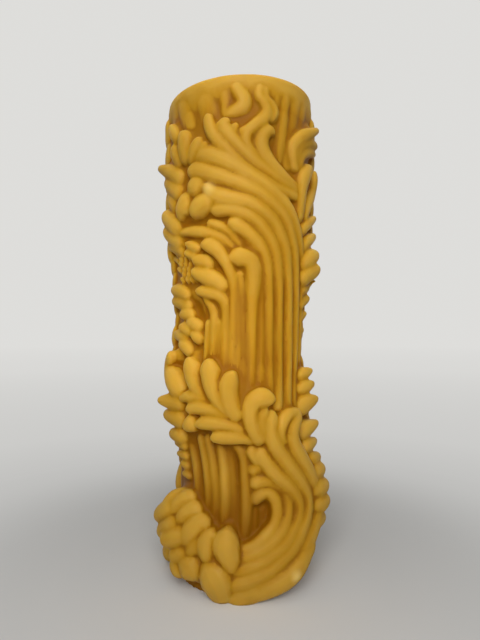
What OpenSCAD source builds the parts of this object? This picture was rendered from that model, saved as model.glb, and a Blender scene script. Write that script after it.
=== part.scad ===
// Carved beeswax pillar candle: one casting, a full-length wick and a wick sustainer under it.
// Millimetres. The axis is Z, the base stands on z = 0, and the carving's front faces -Y.

/* [Wax body] */
// Height of the wax body on its axis
body_h = 157; // [130:1:190]
// Radius of the flat base under the carving
base_r = 20.5; // [19:0.5:23]
// Radius of the plain shaft behind the lower carving
shaft_r = 19.5; // [18:0.5:21]
// Radius of the thicker shaft behind the upper carving
neck_r = 23; // [22:0.5:24]
// Radius of the plain rim at the top
rim_r = 24.6; // [24:0.2:27]
// Height of the plain band at the rim
rim_band = 4; // [2:0.5:8]
// Slant of the poured top in degrees, higher on the right
top_slant = 2.5; // [0:0.5:4]

/* [Carving] */
// Depth of the carving as a multiple of the drawn depth
carving_depth = 1; // [0.8:0.05:1.2]
// Depth of the grooves between neighbouring strands
groove_depth = 1; // [0.6:0.1:1.4]
// Half the width that a bundle's outer strands add at its edges
strand_half = 2.6; // [2:0.1:3]
// Number of ribs around the neck
neck_ribs = 18; // [16:1:30]
// How far a neck rib stands out of the neck
neck_rib_rise = 1; // [0.6:0.1:1.4]
// Half the width of a neck rib
neck_rib_half = 1.7; // [1.2:0.1:2.2]
// Degrees between the flutes in the hollow above the foot
flute_pitch = 7; // [5:0.5:10]
// How far a flute stands out of the shaft in the hollow
flute_rise = 1.2; // [0.8:0.1:1.6]

/* [Wick] */
// Diameter of the braided wick
wick_d = 3; // [2:0.1:4]
// Length of wick standing above the wax
wick_free = 9; // [5:1:13]
// Room between the wick and the wax or the collar
wick_clearance = 0.05; // [0.02:0.01:0.1]

/* [Wick sustainer] */
// Diameter of the sustainer's disc
disc_d = 15; // [12:0.5:20]
// Thickness of the sustainer's sheet metal
sheet_t = 0.4; // [0.3:0.05:0.6]
// Height of the collar that grips the wick, above the disc
collar_h = 6; // [4:0.5:10]
// Room between the sustainer and the wax
sustainer_clearance = 0.05; // [0.02:0.01:0.1]

/* [Hidden] */

wax_colour = [0.80, 0.60, 0.22];
wick_colour = [0.90, 0.86, 0.74];
tin_colour = [0.75, 0.75, 0.76];

// The carving is drawn on a sheet of this height, wrapped round the shaft and repeated behind,
// a little before half a turn, so that its scroll stays behind the slim left edge
sheet_h = 157;
carving_turns = [0, 165];
lift = body_h / sheet_h;

// The shaft's outline: straight at the bottom, swelling to the neck, then out to the rim
foot_h = 12;
swell_start = 66;
swell_end = 128;
shaft_outline = [
    [0, base_r],
    [foot_h * lift, shaft_r],
    [swell_start * lift, shaft_r],
    [swell_end * lift, neck_r],
    [body_h - 2 * rim_band, neck_r],
    [body_h - rim_band, rim_r],
    [2 * body_h, rim_r]
];
function ground(z) = lookup(z, shaft_outline);

// Carved forms are rooted this deep in the shaft, and their sides drop by this share of a half width
root_depth = 2.5;
shoulder = 0.85;
// Share of a half width that is the flat of a broad crest
crest_share = 0.45;
shaft_fn = 32;
bore_fn = 16;
reach = 60;

collar_r = wick_d / 2 + wick_clearance + sheet_t;
sustainer_h = sheet_t + collar_h;
bore_r = (wick_d / 2 + wick_clearance) / cos(180 / bore_fn);
collar_bore_r = (collar_r + sustainer_clearance) / cos(180 / bore_fn);
disc_bore_r = (disc_d / 2 + sustainer_clearance) / cos(180 / shaft_fn);

// Points of the carving are [degrees to the right of the front, height, rise above the shaft].
// A bundle is a list of strands side by side, from foot to tip, each with as many points as the next.

// Flames that lick up over the neck
flames = [
    [
        [[44, 122, 2.2], [26, 127.2, 2.5], [9, 131.2, 2.7], [0, 134, 2.7], [-7, 137.2, 2.6],
            [-12.5, 140.4, 2.4], [-8, 143.4, 1.8]],
        [[46, 119.5, 2.4], [28, 125.2, 2.8], [8, 129, 2.9], [-4, 132.6, 2.9], [-13, 136.6, 2.8],
            [-22, 141, 2.6], [-23.5, 145.6, 2]]
    ],
    [
        [[29, 128.2, 2.3], [9, 133.4, 2.5], [4.5, 138, 2.5], [10, 142, 2.4], [19, 144.4, 2.2],
            [24, 147.4, 1.8], [18, 151, 1.2], [18, 154.5, 0.4]]
    ],
    [
        [[38, 127, 2.2], [20, 131.2, 2.5], [14, 136, 2.5], [17, 140, 2.2], [25, 141, 1.6]]
    ]
];

// Long strands of the upper wave: they rise as flutes on the right and break to the left
wave = [
    [[76, 74, 1], [66, 90, 1.6], [57, 100.5, 2.3], [45, 112, 3.2], [30, 120.3, 3.6], [6, 127.6, 3.7],
        [-17, 132.8, 3.5], [-33, 132.2, 2.4]],
    [[62, 62, 0.9], [58, 86, 1.6], [47, 102.5, 2.5], [37, 113.3, 3.3], [22, 119.9, 3.7], [-6, 125, 3.8],
        [-28, 128.2, 3.5], [-45, 128.6, 2.4]],
    [[50, 58, 0.9], [46, 86, 1.7], [36.5, 103.5, 2.5], [25, 113.5, 3.2], [12, 117.6, 3.6], [-5, 120, 3.7],
        [-19, 122, 3.8], [-27, 124.8, 2.8]],
    [[36, 60, 0.9], [34.2, 86, 1.6], [28, 102.5, 2.2], [18, 111.5, 2.9], [8, 115.2, 3.2], [-3, 117.2, 3.3],
        [-13, 117.6, 3.1], [-23, 116.6, 2.2]],
    [[25.7, 60, 0.9], [24.2, 84, 1.5], [20.5, 100, 1.9], [14, 107, 2.4], [7, 111, 2.8], [0, 113, 3],
        [-6, 113.4, 2.8], [-12, 112.6, 2]],
    [[17, 60, 0.6], [17, 82, 1], [15.5, 97, 1.2], [12, 103.2, 1.4], [8, 106.6, 1.6], [3, 108.4, 1.8],
        [-3, 109, 1.6], [-10, 109.4, 1.2]],
    [[8.5, 62, 1], [9.5, 80, 1.8], [10, 94, 2.3], [9.5, 99.5, 2.6], [7, 102.4, 2.8], [2, 103.6, 2.9],
        [-4, 103.4, 2.7], [-10.5, 102.2, 1.8]]
];

// Inner curl under the wave, breaking to the left above a deep hollow
curl = [
    [[-1, 60.5, 0.8], [-3, 80, 0.9], [-3.5, 94, 1], [-7, 104.5, 1.3], [-16, 108, 1.7], [-27, 109.5, 1.9],
        [-40, 110, 1.6]],
    [[-6, 61, 0.8], [-6, 80, 0.9], [-6, 93.5, 1.4], [-9, 99, 1.9], [-15, 103.2, 2.5], [-23, 105.4, 2.9],
        [-32, 105.8, 2.2]]
];

// Lower curl, between the deep hollow and the small round lobes
lower_curl = [
    [[-9, 62, 0.8], [-9, 78, 0.9], [-9.5, 88, 1.2], [-13, 92.6, 1.8], [-20, 95, 2.4], [-30, 97, 2.6],
        [-42, 98, 1.8]],
    [[-13, 63, 0.8], [-12.5, 78, 1], [-12.4, 85, 1.3], [-14.5, 89, 1.7], [-21, 91.2, 2.1], [-30, 92, 2.1],
        [-39, 92.2, 1.5]],
    [[-23, 66, 0.7], [-22.5, 76, 0.8], [-22.5, 81, 0.9], [-23.2, 85, 1], [-25.5, 87.2, 1], [-28.5, 88.4, 1],
        [-33, 88.6, 0.6]]
];

// Scroll at the foot: strands run right under the hollow, turn up the side and lean back into the leaf
scroll = [
    [[0, 2, 5], [22.5, 5.4, 6.4], [35, 7.7, 7.2], [50, 13, 8.4], [67, 19.5, 9.1], [73, 26, 9], [60, 34, 8.2],
        [43.5, 44.5, 6.8], [45, 51.5, 6.2]],
    [[-1, 6, 5.6], [11, 7.4, 6], [23.5, 9.4, 6.5], [41, 14.4, 7.3], [53.5, 21.5, 7.8], [56, 28, 7.6],
        [44, 36, 6.8], [29, 44.6, 6], [23, 54, 5.6]],
    [[-1, 9.2, 5.4], [10.5, 10.6, 5.8], [22, 12.8, 6.1], [37, 16.8, 6.5], [47, 22.5, 6.7], [48, 27.5, 6.5],
        [39, 33, 6], [26, 38.4, 5.2], [13.5, 44.8, 4.2]],
    [[0, 12.2, 5], [9, 13.4, 5.3], [20, 15.4, 5.5], [33, 20, 5.6], [40, 25.5, 5.4], [38.5, 30, 5],
        [30, 33.8, 4.4], [20, 35, 3.6], [10, 32.8, 2.4]],
    [[2, 14.8, 4.4], [10, 15.8, 4.5], [19, 17.8, 4.6], [28, 21.6, 4.5], [31, 25.5, 4.3], [29.5, 28.6, 4],
        [25, 30.6, 3.5], [19, 30.8, 3], [13, 28, 2]]
];

// Flutes in the hollow that the scroll runs round
hollow_span = [-50, 34];
hollow_z = [12, 50];
hollow = [
    for (turn = [hollow_span[1] : -flute_pitch : hollow_span[0]])
        [for (z = hollow_z) [turn, z, flute_rise]]
];

bundles = concat(flames, [wave, curl, lower_curl, scroll, hollow]);

// Lobes: [foot, belly, tip, half width]

// Broad lobes at the crest of the wave on the left, and small ones round the curl's hollow
crest_lobes = [
    [[-24, 122.8, 3.2], [-32, 123.4, 4], [-42, 122.8, 3.4], 2.7],
    [[-42, 121, 3.4], [-47, 116.8, 4], [-50, 113.6, 3.4], 2.5],
    [[-21, 119, 3], [-29, 117.6, 3.8], [-38, 115, 3.4], 2.5],
    [[-36, 136, 2.4], [-43, 139.8, 3], [-53, 142.4, 2.8], 2.4],
    [[-41, 131, 2.4], [-44, 135, 3.2], [-47.5, 138.4, 3], 2.4],
    [[-50, 132.4, 2.4], [-58, 137, 3.2], [-63, 140.8, 2.8], 2.2],
    [[-36, 80, 1.6], [-41.5, 82, 2.6], [-50, 82.4, 2.4], 2.3],
    [[-35, 75.6, 1.6], [-39, 77.8, 2.6], [-46.5, 78.9, 2.4], 2.1]
];

// Leaf at the right of the neck, in front only
neck_leaf = [
    [[47, 118.6, 2.6], [52, 127, 3.6], [61, 132.4, 3.8], 2.6],
    [[46, 129.5, 1.8], [46, 138.6, 3], [68, 147, 3.8], 2.6]
];

// Leaf that climbs from the lower right across the front
leaf_lobes = [
    [[-28, 59.5, 4.2], [-38.5, 65.4, 5.4], [-42, 71.8, 5], 3.8],
    [[-8.5, 55.5, 4.8], [-20, 63, 6], [-22.5, 71.4, 5.8], 3.5],
    [[1, 53.5, 5], [-9.5, 60.8, 6.2], [-3.5, 67.8, 6], 3.4],
    [[17, 46, 4.8], [7, 56.5, 6.4], [25.5, 59.4, 6.6], 3.3],
    [[31, 47.5, 5.4], [33.5, 53, 6], [51, 54.6, 5.2], 2],
    [[-23.5, 58.4, 4.2], [-36.5, 60, 5], [-53, 58.6, 4.6], 1.9],
    [[-8.5, 54.2, 4.4], [-24.5, 56.8, 5.1], [-45.5, 55.4, 4.6], 2.1],
    [[-35, 52.4, 4], [-41.5, 51.3, 5], [-50, 49.6, 4.4], 2.2],
    [[2, 50.2, 4.2], [-15.5, 52.7, 4.8], [-36, 51.2, 4.2], 2.2],
    [[10.5, 47.5, 3.8], [-6.5, 48.6, 4.4], [-23.5, 47.6, 3.8], 2]
];

// Round lobes gathered at the foot of the scroll
foot_lobes = [
    [[-7, 9.9, 6], [-10, 16, 7.2], [-9, 21.8, 6.4], 3.4],
    [[-20, 11.5, 5.8], [-26, 16, 6.6], [-21, 20, 6], 2.6],
    [[-12, 2.5, 5.6], [-18, 8, 7.2], [-24, 11.6, 6.4], 4.6],
    [[-32, 6.4, 6], [-39.5, 8.5, 7.2], [-48, 9.6, 7], 3.6],
    [[-24, 22.4, 4.4], [-35, 20.8, 6], [-46, 15, 6.6], 2.7],
    [[-31, 25, 3.6], [-44, 23.6, 5.6], [-54, 18.8, 6.2], 2.4],
    [[-41, 28, 2.6], [-55, 25.4, 5.8], [-66, 19.8, 7], 2.4],
    [[-46, 31, 2.2], [-61, 28.8, 5], [-78, 23, 7.2], 2.3]
];

// Low beds that the lobes stand on
beds = [
    [[33, 45, 4.2], [-4, 54.5, 5], [-54, 60, 4.4], 10],
    [[2, 8, 5.2], [-28, 11.5, 6.2], [-64, 12.5, 6.2], 11.5],
    [[-8, 122, 1.8], [-33, 121, 3], [-60, 122, 2.8], 8]
];

lobes = concat(beds, crest_lobes, leaf_lobes, foot_lobes);

// Fronds at the sides, where the front carving meets the one behind:
// [degrees at the foot and the tip, height of each, number of lobes, rise at each, half width]
fronds = [
    [[-79, -79], [6, 27.4], 3, [9, 10.9], 7],
    [[-70, -67], [45, 76], 5, [5.6, 4.4], 7.6],
    [[-69, -67], [74.3, 99], 3, [1.7, 1.6], 7],
    [[-69, -71], [97.2, 129.5], 4, [2.2, 3.4], 8.5],
    [[-66, -72], [126.8, 148], 3, [2.6, 2.4], 7.5],
    [[-99, -97], [2.5, 29], 3, [6.5, 5.4], 9.6],
    [[-98, -100], [27.4, 50.5], 3, [2.2, 3.6], 9.2],
    [[-99, -97], [48.2, 80], 4, [5.6, 3.4], 9.6],
    [[-98, -99], [78, 105], 3, [2.4, 2.8], 8.8],
    [[-98, -97], [103, 150], 5, [3.4, 3], 9.4],
    [[80, 81], [13.5, 33], 3, [8.6, 11.2], 6.6],
    [[74, 62], [31.6, 52.5], 3, [7.6, 6], 7],
    [[71, 68], [50, 70], 3, [5.6, 4.2], 6.8],
    [[76, 75], [68.2, 96], 3, [1.6, 2.4], 6],
    [[71, 70], [93.4, 125.6], 4, [4, 3.4], 7.4],
    [[70, 71], [123, 152], 3, [2.8, 2.6], 8],
    [[98, 97], [3.4, 52.4], 5, [6.4, 5], 9.2],
    [[97, 98], [50.2, 76.6], 3, [5, 3], 8.8],
    [[98, 97], [74.6, 102.2], 3, [2.6, 2.6], 8.8],
    [[97, 98], [100.6, 150.6], 5, [3.4, 3], 9.4]
];
notch_half = 0.8;
notch_rise = 0.8;

// A point of the sheet at a turn, a height and a radius
function wrap(turn, z, r) = [r * sin(turn), -r * cos(turn), z];

// A drawn point at the body's own height and the chosen depth
function placed(p) = [p[0], p[1] * lift, p[2] * carving_depth];

// Step across a form at p, for a form that runs from p0 to p1, of the given length on the sheet
function across(p, p0, p1, length) =
    let (
        per_deg = PI / 180 * (ground(p[1]) + p[2]),
        way = [(p1[0] - p0[0]) * per_deg, p1[1] - p0[1]]
    )
    [way[1] / per_deg, -way[0], 0] * length / norm(way);

// Points across a bundle: its right edge, its ridges with a groove between neighbours, its left edge
function row(ridges, before, after) =
    let (
        last = len(ridges) - 1,
        drop = [0, 0, min(shoulder * strand_half, ridges[0][2] + root_depth / 2)],
        groove = [0, 0, groove_depth],
        right = ridges[0] + across(ridges[0], before[0], after[0], strand_half) - drop,
        left = ridges[last] - across(ridges[last], before[last], after[last], strand_half) - drop
    )
    concat(
        [right],
        [for (k = [0 : 2 * last]) (ridges[floor(k / 2)] + ridges[ceil(k / 2)]) / 2 - (k % 2) * groove],
        [left]
    );

// Points across a form with one broad crest: its right edge, the two sides of its crest, its left edge
function hump(p, before, after, half) =
    let (
        step = across(p, before, after, half),
        drop = [0, 0, min(shoulder * half, p[2] + root_depth / 2)]
    )
    [p + step - drop, p + crest_share * step, p - crest_share * step, p - step - drop];

// Solid between the points of a list of rows and the roots that lie under them in the shaft
module relief(rows) {
    n = len(rows[0]);
    m = len(rows);
    tops = [for (points = rows, p = points) wrap(p[0], p[1], ground(p[1]) + p[2])];
    roots = [for (points = rows, p = points) wrap(p[0], p[1], ground(p[1]) - root_depth)];
    under = m * n;
    sheet = [
        for (i = [0 : m - 2], k = [0 : n - 2])
            let (a = i * n + k)
            each [
                [a, a + 1, a + n + 1], [a, a + n + 1, a + n],
                [under + a, under + a + n + 1, under + a + 1], [under + a, under + a + n, under + a + n + 1]
            ]
    ];
    rim = concat(
        [for (k = [0 : n - 2]) k],
        [for (i = [0 : m - 2]) i * n + n - 1],
        [for (k = [n - 1 : -1 : 1]) (m - 1) * n + k],
        [for (i = [m - 1 : -1 : 1]) i * n]
    );
    walls = [
        for (j = [0 : len(rim) - 1])
            let (a = rim[j], b = rim[(j + 1) % len(rim)])
            each [[a, under + b, b], [a, under + a, under + b]]
    ];
    polyhedron(concat(tops, roots), concat(sheet, walls));
}

module bundle(strands) {
    drawn = [for (strand = strands) [for (p = strand) placed(p)]];
    last = len(drawn[0]) - 1;
    rows = [for (i = [0 : last]) [for (strand = drawn) strand[i]]];
    relief([for (i = [0 : last]) row(rows[i], rows[max(0, i - 1)], rows[min(last, i + 1)])]);
}

// Places along a lobe, each with its share of the half width and of the rise
lobe_rings = [[0, 0.4, 0.8], [0.35, 0.95, 1], [0.75, 0.9, 1], [1, 0.3, 0.9]];

function lobe_point(form, t) =
    placed(form[0] * 2 * (t - 0.5) * (t - 1) - form[1] * 4 * t * (t - 1) + form[2] * 2 * t * (t - 0.5));

module lobe(form) {
    relief([
        for (ring = lobe_rings)
            let (p = lobe_point(form, ring[0]), step = 0.1)
            hump(
                [p[0], p[1], p[2] * ring[2]],
                lobe_point(form, ring[0] - step),
                lobe_point(form, ring[0] + step),
                form[3] * ring[1]
            )
    ]);
}

module frond(form) {
    rings = 2 * form[2];
    rows = [
        for (i = [0 : rings])
            let (t = i / rings, full = i % 2)
            placed([
                form[0][0] + t * (form[0][1] - form[0][0]),
                form[1][0] + t * (form[1][1] - form[1][0]),
                (form[3][0] + t * (form[3][1] - form[3][0])) * (full == 1 ? 1 : notch_rise)
            ])
    ];
    relief([
        for (i = [0 : rings])
            hump(rows[i], rows[max(0, i - 1)], rows[min(rings, i + 1)],
                form[4] * (i % 2 == 1 ? 1 : notch_half))
    ]);
}

module shaft() {
    outline = [for (p = shaft_outline) [p[1], p[0]]];
    rotate_extrude($fn = shaft_fn)
        polygon(concat([[0, 0]], outline, [[0, 2 * body_h]]));
}

module neck_rib() {
    low = (swell_start + swell_end) / 2 * lift;
    high = body_h - 2 * rim_band;
    hull() {
        translate([0, neck_rib_half - neck_rib_rise - neck_r, high])
            cylinder(r = neck_rib_half, h = rim_band, $fn = 8);
        translate([0, neck_rib_half - ground(low), low])
            cylinder(r = neck_rib_half, h = 1, $fn = 8);
    }
}

module carving() {
    for (strands = bundles) bundle(strands);
    for (form = lobes) lobe(form);
}

// Everything above the slanted plane of the poured top, and everything below the base
module cut_ends() {
    translate([0, 0, body_h]) rotate([0, -top_slant, 0]) translate([-reach, -reach, 0])
        cube([2 * reach, 2 * reach, 2 * body_h]);
    translate([-reach, -reach, -reach])
        cube([2 * reach, 2 * reach, reach]);
}

// Room for the wick and for the sustainer under it
module wick_room() {
    translate([0, 0, -1])
        cylinder(r = bore_r, h = 2 * body_h, $fn = bore_fn);
    translate([0, 0, -1])
        cylinder(r = collar_bore_r, h = 1 + sustainer_h + sustainer_clearance, $fn = bore_fn);
    translate([0, 0, -1])
        cylinder(r = disc_bore_r, h = 1 + sheet_t + sustainer_clearance, $fn = shaft_fn);
}

module wax_body() {
    color(wax_colour) difference() {
        union() {
            shaft();
            for (i = [0 : neck_ribs - 1]) rotate([0, 0, i * 360 / neck_ribs]) neck_rib();
            for (turn = carving_turns) rotate([0, 0, turn]) carving();
            for (form = neck_leaf) lobe(form);
            for (form = fronds) frond(form);
        }
        cut_ends();
        wick_room();
    }
}

module wick() {
    color(wick_colour)
        cylinder(d = wick_d, h = body_h + wick_free, $fn = 48);
}

module wick_sustainer() {
    color(tin_colour) difference() {
        union() {
            cylinder(d = disc_d, h = sheet_t, $fn = 96);
            cylinder(r = collar_r, h = sustainer_h, $fn = 48);
        }
        translate([0, 0, -1])
            cylinder(r = wick_d / 2 + wick_clearance, h = sustainer_h + 2, $fn = 48);
    }
}

wax_body();
wick();
wick_sustainer();
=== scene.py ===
import math

import bmesh
import bpy
import numpy as np
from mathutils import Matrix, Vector


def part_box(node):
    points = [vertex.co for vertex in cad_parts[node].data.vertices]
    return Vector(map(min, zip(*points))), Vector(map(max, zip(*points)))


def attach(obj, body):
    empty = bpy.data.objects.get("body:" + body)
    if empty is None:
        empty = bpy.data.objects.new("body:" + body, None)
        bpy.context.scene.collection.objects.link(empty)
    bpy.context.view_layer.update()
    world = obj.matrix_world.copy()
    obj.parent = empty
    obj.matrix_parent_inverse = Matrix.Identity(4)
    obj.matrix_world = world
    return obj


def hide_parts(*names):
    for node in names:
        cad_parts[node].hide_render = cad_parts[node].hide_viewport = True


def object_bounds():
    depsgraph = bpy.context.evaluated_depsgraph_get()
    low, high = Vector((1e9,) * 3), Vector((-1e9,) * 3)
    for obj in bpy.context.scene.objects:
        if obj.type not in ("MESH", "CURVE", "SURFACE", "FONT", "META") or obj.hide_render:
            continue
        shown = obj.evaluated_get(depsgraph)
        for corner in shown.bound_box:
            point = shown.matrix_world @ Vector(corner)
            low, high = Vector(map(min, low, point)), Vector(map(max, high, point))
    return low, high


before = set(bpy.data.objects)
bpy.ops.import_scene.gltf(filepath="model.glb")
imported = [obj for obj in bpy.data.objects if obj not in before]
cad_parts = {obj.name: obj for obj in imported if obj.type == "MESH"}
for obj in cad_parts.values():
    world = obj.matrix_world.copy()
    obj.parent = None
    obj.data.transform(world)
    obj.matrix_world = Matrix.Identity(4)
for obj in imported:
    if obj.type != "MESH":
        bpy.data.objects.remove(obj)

cadLow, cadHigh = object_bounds()
mm = 0.001  # the carving is drawn in millimetres and degrees, and placed in metres
print("frame loaded")

# The carving is drawn on a sheet that is wrapped round this shaft. A point of the sheet is
# (degrees to the right of the front, height, rise above the shaft, half width).
shaft = dict(
    # height and radius up the wall
    outline=[(0, 20.5), (12, 19.5), (66, 19.5), (128, 23), (148, 23.4), (153.5, 24.5), (157, 24.5)],
    segments=240,
    ring=0.7,             # height between the rings of the wall
    girthHeight=60,       # where the distance round the shaft is measured
    topSlant=2.5,         # degrees, higher on the right
    slantDepth=3,         # the slant reaches this far below the rim
    rimRound=1.0,         # soft edge of the poured top
    rimSteps=5,
    dish=0.8,             # how far the top sinks towards the wick
    dishMiddle=(0.6, 0.3),  # shares of the radius and of that depth, halfway in
    core=15,              # radius inside which the carving changes nothing
    rootDepth=2.0,        # strands start this deep in the shaft
    weld=1e-6,            # metres within which points are merged
)
shaftTop, rimRadius = shaft["outline"][-1]
wallHeights, wallRadii = np.array(shaft["outline"]).T


def ground(height):
    return float(np.interp(height, wallHeights, wallRadii))


girth = math.tau * ground(shaft["girthHeight"])


def wrap(turn, height, radius):
    a = math.radians(turn)
    return Vector((radius * math.sin(a), -radius * math.cos(a), height)) * mm


# The front of the carving is drawn over the photograph: (column, row, rise above the shaft, half width).
view = dict(
    place=(0, -166.4, 78.8),
    pitch=1.65,           # degrees upwards
    focalPixels=481,
    frame=(480, 640),
    rounds=6,             # steps that find where a ray meets the carving
    sensor=36,
    clip=0.005,           # metres
)


def seenAt(column, row, rise):
    # where the camera's ray through a pixel meets the carving's surface: (degrees, height, rise there)
    pitch = math.radians(view["pitch"])
    forward = Vector((0, math.cos(pitch), math.sin(pitch)))
    up = Vector((0, -math.sin(pitch), math.cos(pitch)))
    ray = (forward * view["focalPixels"] + up * (view["frame"][1] / 2 - row)
           + Vector((column - view["frame"][0] / 2, 0, 0)))
    start = Vector(view["place"])
    nearest = -start.xy.dot(ray.xy) / ray.xy.length_squared
    passing = (start.xy + ray.xy * nearest).length
    height = start.z
    for _ in range(view["rounds"]):  # the surface's radius depends on the height that is looked for
        radius = max(ground(height) + rise, passing)
        point = start + ray * (nearest - math.sqrt(radius ** 2 - passing ** 2) / ray.xy.length)
        height = min(max(point.z, 0), shaftTop)
    return math.degrees(math.atan2(point.x, -point.y)), point.z, radius - ground(height)


def traced(strands, fullness=1):
    return [[(*seenAt(column, row, rise), half * fullness) for column, row, rise, half in points]
            for points in strands]


# Flames that lick up over the neck
flames = [
    [(300, 197, 2.4, 1.5), (285, 190, 2.8, 1.8), (270, 182, 3.0, 2.0), (244, 165, 3.1, 2.1),
     (230, 152.5, 3.1, 2.1), (219, 141, 3.0, 2.1), (210, 129, 2.9, 2.0), (206.5, 119, 2.6, 1.7),
     (207, 112.5, 2.2, 0.9)],
    [(301, 193, 2.2, 1.4), (282, 179, 2.6, 1.7), (262, 164, 2.8, 2.0), (247, 151, 2.9, 2.2),
     (234, 139, 2.9, 2.3), (225, 129, 2.8, 2.3), (222.5, 122.5, 2.6, 1.9), (229, 118, 2.2, 1.1)],
    [(250, 154, 2.2, 1.0), (241, 145, 2.3, 1.2), (235.5, 136, 2.2, 1.2), (234, 128, 1.9, 1.1),
     (237, 122, 1.6, 0.7)],
    [(255, 151, 2.2, 0.9), (247, 141, 2.2, 1.1), (243, 132, 2.0, 1.1), (246, 125, 1.7, 0.7)],
    [(278, 172, 2.1, 1.4), (262, 160, 2.5, 1.8), (252, 150, 2.6, 1.9), (247, 141, 2.6, 1.9),
     (248, 132, 2.6, 1.9), (255, 125, 2.5, 1.9), (264, 118, 2.2, 2.0), (268, 110, 1.8, 1.9),
     (265, 101, 1.3, 1.7), (260, 93, 0.8, 1.4), (262, 84, 0.1, 0.9)],
    [(270, 121, 1.3, 1.0), (276, 112, 1.3, 1.4), (273, 104, 1.1, 1.4), (267, 96, 0.7, 1.2),
     (266, 86, 0.1, 0.8)],
    [(301, 190, 2.0, 1.5), (291, 181, 2.4, 2.0), (277, 167, 2.7, 2.3), (267, 154, 2.8, 2.4),
     (263, 143, 2.8, 2.4), (265, 134, 2.6, 2.1), (271, 129, 2.3, 1.6), (275.5, 134, 1.8, 0.8)],
    [(226, 115, 0.7, 1.0), (234, 109, 1.1, 1.9), (242, 103, 1.4, 2.4), (243, 96, 1.2, 2.2),
     (238, 89, 0.7, 1.7), (234, 82, 0.1, 1.0)],
]

# Shallow flutes of the neck, which fade before the rim
neckFlutes = [
    [(180, 96, -0.4, 2.2), (182, 106, 0.1, 2.6), (185, 118, 0.5, 2.7), (190, 134, 0.7, 2.4)],
    [(203, 88, -0.4, 2.0), (205, 100, 0.2, 2.6), (208, 112, 0.6, 2.7), (211, 128, 0.8, 2.4)],
    [(224, 86, -0.4, 1.2), (225, 97, 0.2, 1.5), (226, 108, 0.5, 1.6), (227, 118, 0.6, 1.3)],
    [(278, 88, -0.4, 1.1), (277, 100, 0.1, 1.3), (275, 114, 0.4, 1.4), (272, 124, 0.5, 1.1)],
    [(288, 90, -0.4, 1.2), (286, 104, 0.2, 1.6), (284, 125, 0.5, 1.8), (279, 155, 0.6, 1.7),
     (277, 166, 0.6, 1.2)],
    [(299, 95, -0.4, 1.4), (297, 107, 0.2, 1.9), (295, 125, 0.5, 2.1), (290, 150, 0.6, 2.0),
     (288, 172, 0.6, 1.5)],
    [(306, 102, -0.4, 1.5), (304, 112, 0.2, 2.0), (302, 128, 0.5, 2.1), (299, 150, 0.6, 1.9)],
]

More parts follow.
